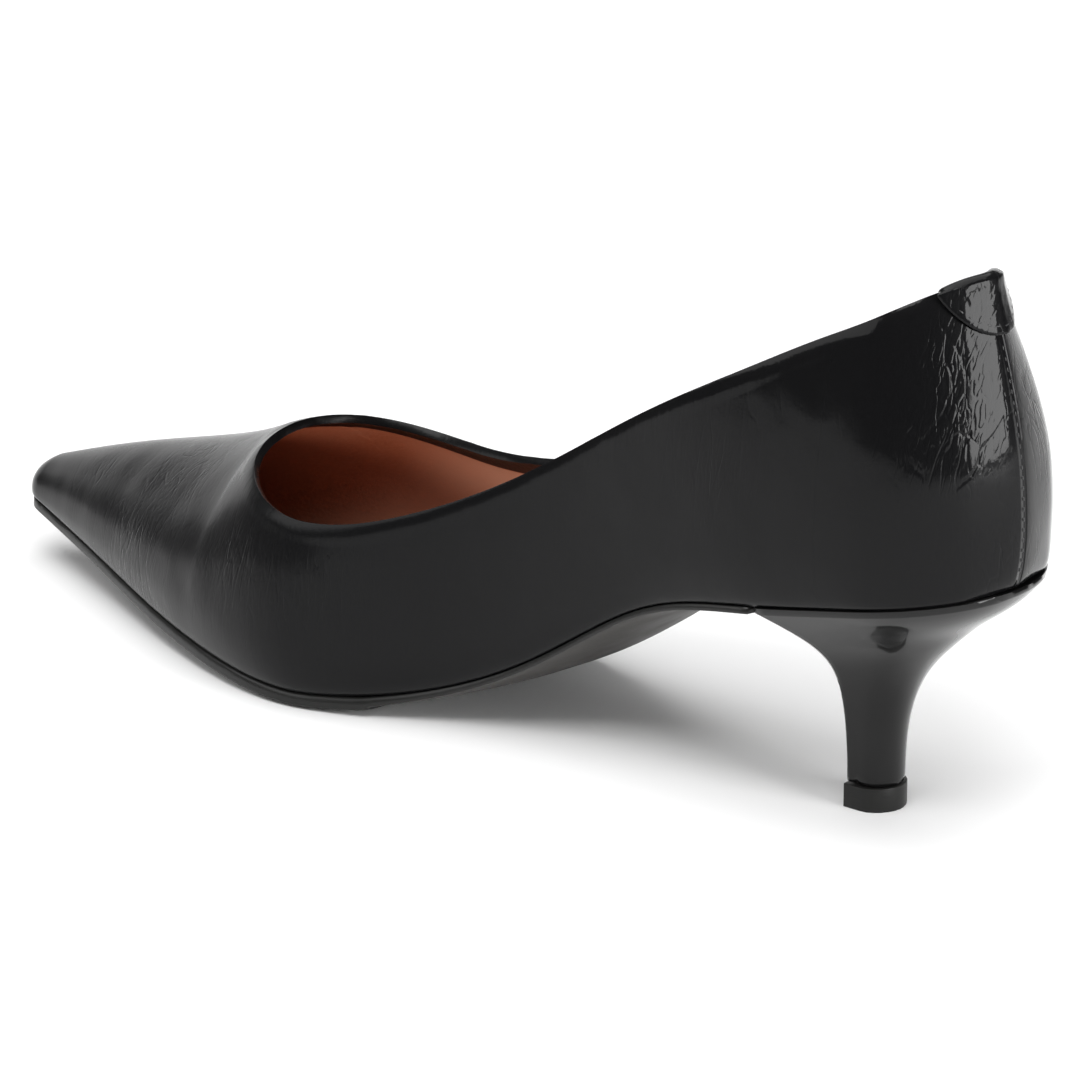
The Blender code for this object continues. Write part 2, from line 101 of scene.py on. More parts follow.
def copy_of(node, name):
    """A copy of a CAD node for dressing, its loose triangles merged into quads."""
    piece = bpy.data.objects.new(name, frame["nodes"][node].data.copy())
    bpy.context.scene.collection.objects.link(piece)
    piece.data.materials.clear()
    only(piece)
    bpy.ops.object.mode_set(mode="EDIT")
    bpy.ops.mesh.select_mode(type="EDGE")
    bpy.ops.mesh.select_all(action="SELECT")
    bpy.ops.mesh.remove_doubles(threshold=MERGE_DISTANCE)
    bpy.ops.mesh.tris_convert_to_quads(face_threshold=radians(60), shape_threshold=radians(80))
    bpy.ops.mesh.select_all(action="DESELECT")
    bpy.ops.object.mode_set(mode="OBJECT")
    return piece


def tree_of(points):
    """A tree that finds the nearest of these points."""
    tree = KDTree(len(points))
    for index, point in enumerate(points):
        tree.insert(point, index)
    tree.balance()
    return tree


def apply_modifier(piece, kind, **settings):
    """Add one modifier and apply it."""
    modifier = piece.modifiers.new(kind.title(), kind)
    for setting, value in settings.items():
        setattr(modifier, setting, value)
    only(piece)
    bpy.ops.object.modifier_apply(modifier=modifier.name)


LEATHER_WALL = 0.0018
RIM_ROUNDING = 0.0008
ROLL_DEPTH = 0.0004
ROLL_WIDTH = 0.0030
COUNTER_FRONT = -0.01
COUNTER_HALF_WIDTH = 0.012
COUNTER_PRESSES = 110
POINTS_PER_EDGE = 8

# Only the outer face of the CAD upper is kept; its wall is made again once it is smooth
upper = copy_of("upper", "upper_leather")
bpy.ops.object.mode_set(mode="EDIT")
bpy.ops.mesh.edges_select_sharp(sharpness=radians(60))
bpy.ops.mesh.edge_split(type="EDGE")
bpy.ops.mesh.select_all(action="DESELECT")
upper_edit = bmesh.from_edit_mesh(upper.data)
min(upper_edit.verts, key=lambda vert: vert.co.x).select = True
upper_edit.select_flush(True)
bpy.ops.mesh.select_mode(type="VERT")
bpy.ops.mesh.select_linked()
bpy.ops.mesh.select_all(action="INVERT")
bpy.ops.mesh.delete(type="VERT")
bpy.ops.mesh.select_all(action="SELECT")
bpy.ops.mesh.remove_doubles(threshold=MERGE_DISTANCE)
bpy.ops.object.mode_set(mode="OBJECT")
apply_modifier(upper, "SUBSURF", levels=2, render_levels=2)

# The counter is pressed round, so the back seam lies flat in it
counter = upper.vertex_groups.new(name="counter")
for vert in upper.data.vertices:
    if vert.co.y < COUNTER_FRONT and abs(vert.co.x) < COUNTER_HALF_WIDTH:
        counter.add([vert.index], 1 - (abs(vert.co.x) / COUNTER_HALF_WIDTH) ** 2, "REPLACE")
lasted = [v.co.copy() for v in upper.data.vertices]
apply_modifier(
    upper, "SMOOTH", factor=0.5, iterations=COUNTER_PRESSES, vertex_group="counter", use_z=False
)
upper.vertex_groups.clear()
pressed = [after.co - before for after, before in zip(upper.data.vertices, lasted)]
lasted_tree = tree_of(lasted)

# The topline is the open edge that doesn't face down. The turned edge, the facing and the
# wrinkles are placed by their distance from it.
shell = bmesh.new()
shell.from_mesh(upper.data)
topline = [e for e in shell.edges if e.is_boundary and min(v.normal.z for v in e.verts) > -0.5]
topline_points = [
    e.verts[0].co.lerp(e.verts[1].co, k / POINTS_PER_EDGE)
    for e in topline
    for k in range(POINTS_PER_EDGE)
]
shell.free()
topline_tree = tree_of(topline_points)

# Soft folds of the worn-in leather: where each lies on the inner side or on top, how it runs, and
# its size. They are troughs where the depth is above nought and ridges where it is below.
FOLD_FADES_OUT = 1.6
FOLDS = (
    # centre, direction, half length, half width, depth, in millimetres
    ((-31, 158, 20), (0.35, 1.0, 0.9), 9, 2.4, 0.07),
    ((-26, 170, 22), (0.30, 1.0, 1.0), 8, 2.2, 0.08),
    ((-18, 182, 21), (0.45, 1.0, 0.7), 7, 2.0, 0.11),
    ((-9, 170, 33), (1.0, 0.9, 0.2), 9, 2.6, 0.15),
    ((-4, 186, 28), (1.0, 1.1, 0.1), 8, 2.4, 0.13),
    ((4, 166, 36), (1.0, -0.6, 0.1), 7, 2.4, -0.05),
    ((-33, 128, 26), (0.1, 0.6, 1.0), 9, 3.0, 0.05),
    ((-30, 112, 30), (0.1, 0.5, 1.0), 8, 2.8, 0.11),
    ((-26, 88, 42), (0.1, 0.3, 1.0), 8, 3.0, 0.10),
    ((-22, 60, 60), (0.0, -0.2, 1.0), 8, 3.0, 0.08),
    ((30, 150, 24), (-0.3, 1.0, 0.9), 9, 2.6, 0.14),
    ((22, 176, 22), (-0.4, 1.0, 0.8), 8, 2.3, 0.12),
    ((33, 122, 26), (0.0, 0.5, 1.0), 9, 3.0, 0.12),
    ((25, 84, 44), (0.0, 0.3, 1.0), 8, 3.0, 0.09),
)


def fold_depth(point):
    """How far the folds sink a point, in millimetres."""
    depth_here = 0.0
    for centre, direction, half_length, half_width, depth in FOLDS:
        from_centre = point * 1000 - Vector(centre)
        run = Vector(direction).normalized()
        along = from_centre.dot(run)
        across = (from_centre - run * along).length
        fade = max(0.0, 1 - (along / (FOLD_FADES_OUT * half_length)) ** 2)
        depth_here += depth * fade * fade * exp(-((across / half_width) ** 2))
    return depth_here


# The patches where the film is crinkled: centre and radius in millimetres, and how much it shows
PATCH_FALL = 1.4
CRINKLED_EVERYWHERE = 0.05
CRINKLED = (
    ((-12, -23, 100), 9, 0.9),
    ((-14, -25, 86), 10, 1.0),
    ((13, -25, 88), 14, 0.8),
    ((-7, -32, 62), 9, 0.5),
    ((-10, 172, 36), 16, 0.35),
    ((-5, 203, 27), 10, 0.2),
    ((-23, 180, 14), 15, 0.35),
    ((-34, 140, 27), 12, 0.3),
    ((-36, 116, 27), 13, 0.45),
    ((-24, 24, 72), 12, 0.25),
    ((22, 168, 24), 16, 0.6),
    ((34, 120, 24), 14, 0.4),
    ((27, 26, 68), 13, 0.3),
)


def crinkled_here(point):
    """How much the film is crinkled at a point, from nought to one."""
    shares = [
        share * exp(-(((point * 1000 - Vector(centre)).length / radius) ** 2) * PATCH_FALL)
        for centre, radius, share in CRINKLED
    ]
    return min(1.0, CRINKLED_EVERYWHERE + sum(shares))


distances = [topline_tree.find(v.co)[2] for v in upper.data.vertices]
crinkling = [crinkled_here(v.co) for v in upper.data.vertices]
beside_seam = [v.co.x if v.co.y < 0 else 1.0 for v in upper.data.vertices]
for name, values in (
    ("from_topline", distances), ("crinkled", crinkling), ("from_seam", beside_seam)
):
    upper.data.attributes.new(name, "FLOAT", "POINT")
    upper.data.attributes[name].data.foreach_set("value", values)

moved = []
for vert, distance in zip(upper.data.vertices, distances):
    rolled = ROLL_DEPTH * max(0.0, 1 - distance / ROLL_WIDTH) ** 2
    moved.extend(vert.co - vert.normal * (rolled + fold_depth(vert.co) / 1000))
upper.data.vertices.foreach_set("co", moved)

# Slots for the leather outside and for the lining, which the inner faces take
for _ in range(2):
    upper.data.materials.append(None)
apply_modifier(
    upper, "SOLIDIFY", thickness=LEATHER_WALL, offset=-1, use_even_offset=True, material_offset=1
)
apply_modifier(
    upper, "BEVEL", width=RIM_ROUNDING, segments=3, limit_method="ANGLE", angle_limit=radians(60)
)
bpy.ops.object.shade_smooth_by_angle(angle=radians(50))


def linear(hex_colour):
    """The linear colour of an sRGB hex value."""
    shares = [int(hex_colour[i : i + 2], 16) / 255 for i in (1, 3, 5)]
    return (*(s / 12.92 if s <= 0.04045 else ((s + 0.055) / 1.055) ** 2.4 for s in shares), 1.0)


def add_node(tree, kind, settings=(), values=(), feeds=()):
    """Add a node, with its settings, its sockets' values and the sockets that feed it."""
    node = tree.nodes.new(kind)
    for name, value in dict(settings).items():
        setattr(node, name, value)
    for name, value in dict(values).items():
        node.inputs[name].default_value = value
    for name, source in dict(feeds).items():
        tree.links.new(source, node.inputs[name])
    return node


def new_material(name, **values):
    """A material with its Principled surface and its object coordinates."""
    material = bpy.data.materials.new(name)
    material.use_nodes = True
    tree = material.node_tree
    surface = tree.nodes["Principled BSDF"]
    for socket, value in values.items():
        surface.inputs[socket.replace("_", " ")].default_value = value
    place = add_node(tree, "ShaderNodeTexCoord").outputs["Object"]
    return material, tree, surface, place


# Patent leather: a black coated hide. Its film is smooth enough for clear highlights, and crinkles
# in fine lines where the hide was pulled over the last, upright on the sides and across the vamp.
CRINKLE = 0.0012
CRINKLE_DEPTH = 0.00005
CREASE = 0.0046
CREASE_DEPTH = 0.00008
WAVE = 0.016
WAVE_DEPTH = 0.0009
PORE = 0.0006
PORE_DEPTH = 0.000012
CLEAR_UP_TO_Y = 0.02
DULL_FROM_Y = 0.15


def fine_lines(tree, place, spacing, width, seed):
    """Thin wandering lines, longer along X and Z than along Y."""
    run = add_node(
        tree, "ShaderNodeMapping", {}, {"Scale": (0.45, 1.0, 0.20), "Location": (seed, 0.0, seed)},
        {"Vector": place},
    )
    noise = add_node(
        tree, "ShaderNodeTexNoise", {}, {"Scale": 1 / spacing, "Detail": 1.5, "Distortion": 0.5},
        {"Vector": run.outputs[0]},
    )
    level = add_node(
        tree, "ShaderNodeMath", {"operation": "SUBTRACT"}, {1: 0.5}, {0: noise.outputs["Fac"]}
    )
    near = add_node(tree, "ShaderNodeMath", {"operation": "ABSOLUTE"}, {}, {0: level.outputs[0]})
    return add_node(
        tree, "ShaderNodeMapRange", {"interpolation_type": "SMOOTHSTEP"},
        {"From Min": 0.0, "From Max": width}, {"Value": near.outputs[0]},
    )


def patent_leather(name):
    """The leather's material, with its surface node and the last of its bumps."""
    leather, tree, surface, place = new_material(
        name,
        Base_Color=linear("#0D0D0E"),
        Roughness=0.4,
        Specular_IOR_Level=0.03,
        Coat_Weight=1.0,
        Coat_IOR=1.22,
    )
    share = add_node(
        tree, "ShaderNodeAttribute", {"attribute_name": "crinkled", "attribute_type": "GEOMETRY"}
    )
    crinkles = fine_lines(tree, place, CRINKLE, 0.10, 0.0)
    crinkle = add_node(
        tree, "ShaderNodeBump", {}, {"Distance": CRINKLE_DEPTH},
        {"Height": crinkles.outputs[0], "Strength": share.outputs["Fac"]},
    )
    creases = fine_lines(tree, place, CREASE, 0.035, 0.37)
    crease = add_node(
        tree, "ShaderNodeBump", {}, {"Distance": CREASE_DEPTH},
        {"Height": creases.outputs[0], "Strength": share.outputs["Fac"],
         "Normal": crinkle.outputs[0]},
    )
    waves = add_node(
        tree, "ShaderNodeTexNoise", {}, {"Scale": 1 / WAVE, "Detail": 1.5}, {"Vector": place}
    )
    wavy = add_node(
        tree, "ShaderNodeBump", {}, {"Distance": WAVE_DEPTH, "Strength": 0.4},
        {"Height": waves.outputs["Fac"], "Normal": crease.outputs[0]},
    )
    pores = add_node(
        tree, "ShaderNodeTexNoise", {}, {"Scale": 1 / PORE, "Detail": 2.0}, {"Vector": place}
    )
    grain = add_node(
        tree, "ShaderNodeBump", {}, {"Distance": PORE_DEPTH, "Strength": 0.5},
        {"Height": pores.outputs["Fac"], "Normal": wavy.outputs[0]},
    )
    # The film is clear over the stiff counter and duller where the vamp was pulled and flexed
    along = add_node(tree, "ShaderNodeSeparateXYZ", {}, {}, {"Vector": place})
    worn = add_node(
        tree, "ShaderNodeMapRange", {"interpolation_type": "SMOOTHSTEP"},
        {"From Min": CLEAR_UP_TO_Y, "From Max": DULL_FROM_Y, "To Min": 0.07, "To Max": 0.24},
        {"Value": along.outputs["Y"]},
    )
    tree.links.new(worn.outputs[0], surface.inputs["Coat Roughness"])
    tree.links.new(grain.outputs[0], surface.inputs["Normal"])
    tree.links.new(grain.outputs[0], surface.inputs["Coat Normal"])
    return leather, tree, surface, grain


upper_patent, tree, surface, grain = patent_leather("black_patent_leather")

# The turned edge is two layers thick, so the leather stands up a little beside the topline, and
# short wrinkles run down from it
EDGE_STEP_FROM = 0.0022
EDGE_STEP_TO = 0.0048
WRINKLE = 0.0011
WRINKLED_UP_TO = 0.0030
WRINKLES_END = 0.0075

edge_distance = add_node(
    tree, "ShaderNodeAttribute", {"attribute_name": "from_topline", "attribute_type": "GEOMETRY"}
)
turned_edge = add_node(
    tree, "ShaderNodeMapRange", {"interpolation_type": "SMOOTHSTEP"},
    {"From Min": EDGE_STEP_FROM, "From Max": EDGE_STEP_TO, "To Min": 1.0, "To Max": 0.0},
    {"Value": edge_distance.outputs["Fac"]},
)
edge_step = add_node(
    tree, "ShaderNodeBump", {}, {"Distance": 0.00014, "Strength": 0.7},
    {"Height": turned_edge.outputs[0], "Normal": grain.outputs[0]},
)
place = add_node(tree, "ShaderNodeTexCoord").outputs["Object"]
wrinkle_run = add_node(
    tree, "ShaderNodeMapping", {}, {"Scale": (0.3, 1.0, 0.22)}, {"Vector": place}
)
wrinkles = add_node(
    tree, "ShaderNodeTexNoise", {}, {"Scale": 1 / WRINKLE, "Detail": 2.0, "Distortion": 0.4},
    {"Vector": wrinkle_run.outputs[0]},
)
wrinkle_band = add_node(
    tree, "ShaderNodeMapRange", {"interpolation_type": "SMOOTHSTEP"},
    {"From Min": WRINKLES_END, "From Max": WRINKLED_UP_TO, "To Min": 0.0, "To Max": 0.5},
    {"Value": edge_distance.outputs["Fac"]},
)
wrinkled = add_node(
    tree, "ShaderNodeBump", {}, {"Distance": 0.00010},
    {"Height": wrinkles.outputs["Fac"], "Strength": wrinkle_band.outputs[0],
     "Normal": edge_step.outputs[0]},
)

# The back seam is lapped: the stitches pull the lower quarter down beside the upper one's edge.
# Places are sideways from the middle of the heel.
VALLEY_OUTER = -0.0019
VALLEY_INNER = -0.0010
LAP_FOOT = -0.0004
LAP_TOP = 0.0002

beside = add_node(
    tree, "ShaderNodeAttribute", {"attribute_name": "from_seam", "attribute_type": "GEOMETRY"}
)
lower_quarter = add_node(
    tree, "ShaderNodeMapRange", {"interpolation_type": "SMOOTHSTEP"},
    {"From Min": VALLEY_OUTER, "From Max": VALLEY_INNER, "To Min": 1.0, "To Max": 0.0},
    {"Value": beside.outputs["Fac"]},
)
upper_quarter = add_node(
    tree, "ShaderNodeMapRange", {"interpolation_type": "SMOOTHSTEP"},
    {"From Min": LAP_FOOT, "From Max": LAP_TOP, "To Min": 0.0, "To Max": 1.3},
    {"Value": beside.outputs["Fac"]},
)
lapped = add_node(
    tree, "ShaderNodeMath", {"operation": "ADD"}, {},
    {0: lower_quarter.outputs[0], 1: upper_quarter.outputs[0]},
)
seam = add_node(
    tree, "ShaderNodeBump", {}, {"Distance": 0.00022, "Strength": 1.0},
    {"Height": lapped.outputs[0], "Normal": wrinkled.outputs[0]},
)
tree.links.new(seam.outputs[0], surface.inputs["Normal"])
tree.links.new(seam.outputs[0], surface.inputs["Coat Normal"])

# Lining: tan polyurethane on a knitted back, matt and finely grained. The black facing on its upper
# edge is the turned leather.
FACING = 0.0040
FACING_EDGE = 0.00025
LINING_GRAIN = 0.0009
LINING_TONE = 0.018
DARKER_FROM = 0.005
DARKEST_FROM = 0.024

lining, tree, surface, place = new_material("tan_synthetic_lining", Specular_IOR_Level=0.5)
edge_distance = add_node(
    tree, "ShaderNodeAttribute", {"attribute_name": "from_topline", "attribute_type": "GEOMETRY"}
)
facing = add_node(
    tree, "ShaderNodeMapRange", {},
    {"From Min": FACING, "From Max": FACING + FACING_EDGE, "To Min": 1.0, "To Max": 0.0},
    {"Value": edge_distance.outputs["Fac"]},
)
tone = add_node(
    tree, "ShaderNodeTexNoise", {}, {"Scale": 1 / LINING_TONE, "Detail": 3.0}, {"Vector": place}
)
tan = add_node(
    tree, "ShaderNodeMix", {"data_type": "RGBA"}, {6: linear("#E4B496"), 7: linear("#EBBFA2")},
    {0: tone.outputs["Fac"]},
)
# Painted shade: the lining's colour is mixed from tan towards dark brown deeper below the topline,
# standing in for the shade inside the shoe.
depth = add_node(
    tree, "ShaderNodeMapRange", {"interpolation_type": "SMOOTHSTEP"},
    {"From Min": DARKER_FROM, "From Max": DARKEST_FROM, "To Min": 0.0, "To Max": 0.85},
    {"Value": edge_distance.outputs["Fac"]},
)
shaded_tan = add_node(
    tree, "ShaderNodeMix", {"data_type": "RGBA"}, {7: linear("#7A4630")},
    {0: depth.outputs[0], 6: tan.outputs[2]},
)
colour = add_node(
    tree, "ShaderNodeMix", {"data_type": "RGBA"}, {7: linear("#121213")},
    {0: facing.outputs[0], 6: shaded_tan.outputs[2]},
)
gloss = add_node(
    tree, "ShaderNodeMapRange", {}, {"To Min": 0.58, "To Max": 0.3}, {"Value": facing.outputs[0]}
)
knit = add_node(
    tree, "ShaderNodeTexVoronoi", {}, {"Scale": 1 / LINING_GRAIN}, {"Vector": place}
)
grain = add_node(
    tree, "ShaderNodeBump", {}, {"Distance": 0.00008, "Strength": 0.5},
    {"Height": knit.outputs["Distance"]},
)
facing_step = add_node(
    tree, "ShaderNodeBump", {}, {"Distance": 0.0004, "Strength": 0.9},
    {"Height": facing.outputs[0], "Normal": grain.outputs[0]},
)
tree.links.new(colour.outputs[2], surface.inputs["Base Color"])
tree.links.new(gloss.outputs[0], surface.inputs["Roughness"])
tree.links.new(facing_step.outputs[0], surface.inputs["Normal"])

upper.data.materials[0] = upper_patent
upper.data.materials[1] = lining
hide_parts("upper")
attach(upper, "root")


# Back tab
# A small overlay of the same leather over the top of the back seam. Its upper edge is folded over
# the topline, and its lower edge is cut raw, pressed thin and stitched down.
def rounded_copy(node, name, sharp, hardness, levels):
    """A smoothed copy of a CAD node whose sharp edges stay firm."""
    piece = copy_of(node, name)
    bpy.ops.object.mode_set(mode="EDIT")
    bpy.ops.mesh.edges_select_sharp(sharpness=radians(sharp))
    bpy.ops.transform.edge_crease(value=hardness)
    bpy.ops.mesh.select_all(action="DESELECT")
    bpy.ops.object.mode_set(mode="OBJECT")
    apply_modifier(piece, "SUBSURF", levels=levels, render_levels=levels)
    bpy.ops.object.shade_smooth_by_angle(angle=radians(50))
    return piece


TAB_FOLD = 0.00175
FOLD_DROP = 0.0007
FOLD_STEPS = 27
STEPS_PER_DEGREE = 0.6
FOLD_STARTS_AT_Y = -0.0185
COLLAR_LOWEST = 0.08
TAB_DETAIL = 0.00025
TAB_CRINKLED = 0.35
HEEL_AXIS_Y = -0.0064

# The fold over the topline is a soft roll, joined to the flat part of the tab
fold_points = []
for k in range(-FOLD_STEPS, FOLD_STEPS + 1):
    turn = radians(k / STEPS_PER_DEGREE)
    outwards = Vector((sin(turn), -cos(turn), 0.0))
    side = outwards.cross(Vector((0, 0, 1)))
    near = [
        p for p in topline_points
        if p.z > COLLAR_LOWEST and (p - Vector((0, HEEL_AXIS_Y, p.z))).dot(outwards) > 0
    ]
    point = min(near, key=lambda p: abs((p - Vector((0, HEEL_AXIS_Y, 0))).dot(side)))
    if point.y < FOLD_STARTS_AT_Y:
        fold_points.append(point - outwards * TAB_FOLD / 3 - Vector((0, 0, FOLD_DROP)))
fold_curve = bpy.data.curves.new("tab_fold", "CURVE")
fold_curve.dimensions = "3D"
fold_curve.bevel_depth = TAB_FOLD
fold_curve.bevel_resolution = 4
fold_curve.use_fill_caps = True
spline = fold_curve.splines.new("POLY")
spline.points.add(len(fold_points) - 1)
for index, (point, place) in enumerate(zip(spline.points, fold_points)):
    point.co = (*place, 1)
    point.radius = 0.55 + 0.45 * sin(pi * index / (len(fold_points) - 1)) ** 0.5
fold = bpy.data.objects.new("tab_fold", fold_curve)
bpy.context.scene.collection.objects.link(fold)
only(fold)
bpy.ops.object.convert(target="MESH")
tab = copy_of("back_tab", "back_tab_leather")
for vert in tab.data.vertices:
    vert.co += pressed[lasted_tree.find(vert.co)[1]]
only(tab, fold)
bpy.ops.object.join()
apply_modifier(tab, "REMESH", mode="VOXEL", voxel_size=TAB_DETAIL)
apply_modifier(tab, "SMOOTH", factor=0.6, iterations=30)
bpy.ops.object.shade_smooth()
tab.data.attributes.new("crinkled", "FLOAT", "POINT")
crinkling = [TAB_CRINKLED] * len(tab.data.vertices)
tab.data.attributes["crinkled"].data.foreach_set("value", crinkling)
tab_patent = patent_leather("black_patent_tab_leather")[0]
tab.data.materials.append(tab_patent)
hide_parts("back_tab")
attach(tab, "root")


# Stitches
# Black polyester thread in lockstitch: one row beside the lapped back seam and one row round the
# tab. Each stitch lies in the leather at both ends and stands up in its middle.
STITCH_PITCH = 0.0021
STITCH_LENGTH = 0.0015
THREAD = 0.00045
STITCH_SINK = 0.35
SEAM_MARGIN = 0.0009
SEAM_STARTS_BELOW_TAB = 0.0006
SEAM_ENDS_AT = 0.0545
TAB_MARGIN = 0.0018
TAB_LOWEST = 0.1
HEEL_RADIUS = 0.026
BEYOND_HEEL = 0.08
STRIDE = 0.0001
SMOOTHED_OVER = 6

bpy.context.view_layer.update()
graph = bpy.context.evaluated_depsgraph_get()
upper_tree = BVHTree.FromObject(upper, graph)
tab_tree = BVHTree.FromObject(tab, graph)


def surface_at(tree, angle, height):
    """The point and the normal of the outer face, seen from an angle round the heel's axis."""
    outside = Vector((BEYOND_HEEL * sin(angle), HEEL_AXIS_Y - BEYOND_HEEL * cos(angle), height))
    inwards = Vector((-sin(angle), cos(angle), 0.0))
    point, normal, _, _ = tree.ray_cast(outside, inwards)
    return point, normal


def tab_edge(angle):
    """The height at which the tab's lower edge lies at an angle round the heel."""
    heights = [TAB_LOWEST + STRIDE * k for k in range(150)]
    return next((z for z in heights if surface_at(tab_tree, angle, z)[0]), None)


def row_of_stitches(name, path):
    """Stitches at an even pitch along a path of points and normals, joined into one piece."""
    bpy.ops.mesh.primitive_uv_sphere_add(segments=8, ring_count=6, radius=0.5)
    pattern = bpy.context.object
    stitches = []
    walked = 0.0
    for (point, normal), (after, _) in zip(path, path[1:]):
        step = after - point
        walked += step.length
        if walked < STITCH_PITCH:
            continue
        walked = 0.0
        run = step.normalized()
        side = run.cross(normal).normalized()
        axes = Matrix((run * STITCH_LENGTH, side * THREAD, side.cross(run) * THREAD)).transposed()
        stitch = bpy.data.objects.new(name, pattern.data.copy())
        sunk = point - normal * THREAD * STITCH_SINK
        stitch.data.transform(Matrix.Translation(sunk) @ axes.to_4x4())
        bpy.context.scene.collection.objects.link(stitch)
        stitches.append(stitch)
    bpy.data.objects.remove(pattern)
    only(*stitches)
    bpy.ops.object.join()
    row = bpy.context.object
    row.name = name
    bpy.ops.object.mode_set(mode="EDIT")
    bpy.ops.mesh.select_all(action="SELECT")
    bpy.ops.mesh.normals_make_consistent(inside=False)
    bpy.ops.object.mode_set(mode="OBJECT")
    bpy.ops.object.shade_smooth()
    return row


seam_turn = -SEAM_MARGIN / HEEL_RADIUS
seam_path = []
for k in range(480):
    height = tab_edge(0.0) - SEAM_STARTS_BELOW_TAB - STRIDE * k
    point, normal = surface_at(upper_tree, seam_turn, height)
    if point and height > SEAM_ENDS_AT:
        seam_path.append((point, normal))
seam_stitches = row_of_stitches("back_seam_stitches", seam_path)

tab_angles = [radians(0.33 * k) for k in range(-100, 101)]
tab_edges = [tab_edge(angle) for angle in tab_angles]
tab_path = []
for k in range(SMOOTHED_OVER, len(tab_angles) - SMOOTHED_OVER):
    around = tab_edges[k - SMOOTHED_OVER : k + SMOOTHED_OVER + 1]
    if None in around:
        continue
    point, normal = surface_at(tab_tree, tab_angles[k], sum(around) / len(around) + TAB_MARGIN)
    if point:
        tab_path.append((point, normal))
tab_stitches = row_of_stitches("back_tab_stitches", tab_path)

# Bonded thread: waxed, so it has a soft shine, with the lay of its plies across it
PLY = 0.0012

thread, tree, surface, place = new_material(
    "bonded_polyester_thread", Base_Color=linear("#1C1C1D"), Roughness=0.3, IOR=1.5
)
plies = add_node(
    tree, "ShaderNodeTexWave", {"bands_direction": "DIAGONAL"}, {"Scale": 1 / PLY},
    {"Vector": place},
)
twist = add_node(
    tree, "ShaderNodeBump", {}, {"Distance": 0.00005, "Strength": 0.6},
    {"Height": plies.outputs["Fac"]},
)
tree.links.new(twist.outputs[0], surface.inputs["Normal"])
for row in (seam_stitches, tab_stitches):
    row.data.materials.append(thread)
    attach(row, "root")


# Sock
# The insole board with its glued sock of the same tan synthetic as the lining, smoothed by a press.
SOCK_TONE = 0.02
SOCK_PEBBLE = 0.0008

sock = rounded_copy("insole", "tan_sock", 60, 0.7, 2)

# Synthetic leather pressed against a smooth plate: satin, with a fine pebbled grain
sock_finish, tree, surface, place = new_material(
    "tan_pressed_sock", Roughness=0.5, IOR=1.46, Sheen_Weight=0.1, Sheen_Roughness=0.4
)
tone = add_node(
    tree, "ShaderNodeTexNoise", {}, {"Scale": 1 / SOCK_TONE, "Detail": 3.0}, {"Vector": place}
)
tan = add_node(
    tree, "ShaderNodeMix", {"data_type": "RGBA"}, {6: linear("#9C5A41"), 7: linear("#AC694E")},
    {0: tone.outputs["Fac"]},
)
pebble = add_node(
    tree, "ShaderNodeTexVoronoi", {}, {"Scale": 1 / SOCK_PEBBLE}, {"Vector": place}
)
grain = add_node(
    tree, "ShaderNodeBump", {}, {"Distance": 0.00006, "Strength": 0.5},
    {"Height": pebble.outputs["Distance"]},
)
tree.links.new(tan.outputs[2], surface.inputs["Base Color"])
tree.links.new(grain.outputs[0], surface.inputs["Normal"])
sock.data.materials.append(sock_finish)
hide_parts("insole")
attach(sock, "root")


# Outsole
# A thin resin sole, cemented on. Its edge is trimmed, painted black and burnished, and its
# underside is moulded with a fine matt grain.
BEDDING = 0.0010
TOP_FACE_SLOPE = 0.2
UNDERSIDE_SLOPE = -0.75
BRUSH_MARK = 0.004
RESIN_GRAIN = 0.0008
SCUFF = 0.015

sole = rounded_copy("outsole", "resin_outsole", 30, 0.8, 2)

# The top face is sunk a little into the leather above it, so that the cemented joint is closed
on_top = [vert.normal.z > TOP_FACE_SLOPE for vert in sole.data.vertices]
for vert, raised in zip(sole.data.vertices, on_top):
    if raised:
        vert.co.z += BEDDING

# Edge paint: a thin black film, burnished with a brush along the edge, so it has a low sheen
edge_paint, tree, surface, place = new_material(
    "burnished_black_edge_paint", Base_Color=linear("#1A1A19"), Roughness=0.34,
    Specular_IOR_Level=0.25, Coat_Weight=0.15, Coat_Roughness=0.25
)
brush = add_node(tree, "ShaderNodeMapping", {}, {"Scale": (1.0, 1.0, 6.0)}, {"Vector": place})
strokes = add_node(
    tree, "ShaderNodeTexNoise", {}, {"Scale": 1 / BRUSH_MARK, "Detail": 3.0},
    {"Vector": brush.outputs[0]},
)
grain = add_node(
    tree, "ShaderNodeBump", {}, {"Distance": 0.00012, "Strength": 0.5},
    {"Height": strokes.outputs["Fac"]},
)
tree.links.new(grain.outputs[0], surface.inputs["Normal"])

# Moulded resin: dark grey and matt from the mould, rubbed smoother in patches
resin, tree, surface, place = new_material(
    "moulded_resin_underside", Base_Color=linear("#3A3836"), IOR=1.5
)
speckle = add_node(
    tree, "ShaderNodeTexNoise", {}, {"Scale": 1 / RESIN_GRAIN, "Detail": 2.0}, {"Vector": place}
)
scuffs = add_node(
    tree, "ShaderNodeTexNoise", {}, {"Scale": 1 / SCUFF, "Detail": 4.0}, {"Vector": place}
)
rubbed = add_node(
    tree, "ShaderNodeMapRange", {},
    {"From Min": 0.4, "From Max": 0.7, "To Min": 0.42, "To Max": 0.58},
    {"Value": scuffs.outputs["Fac"]},
)
grain = add_node(
    tree, "ShaderNodeBump", {}, {"Distance": 0.00006, "Strength": 0.6},
    {"Height": speckle.outputs["Fac"]},
)
tree.links.new(rubbed.outputs[0], surface.inputs["Roughness"])
tree.links.new(grain.outputs[0], surface.inputs["Normal"])
sole.data.materials.append(edge_paint)
sole.data.materials.append(resin)
for face in sole.data.polygons:
    face.material_index = 1 if face.normal.z < UNDERSIDE_SLOPE else 0
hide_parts("outsole")
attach(sole, "root")


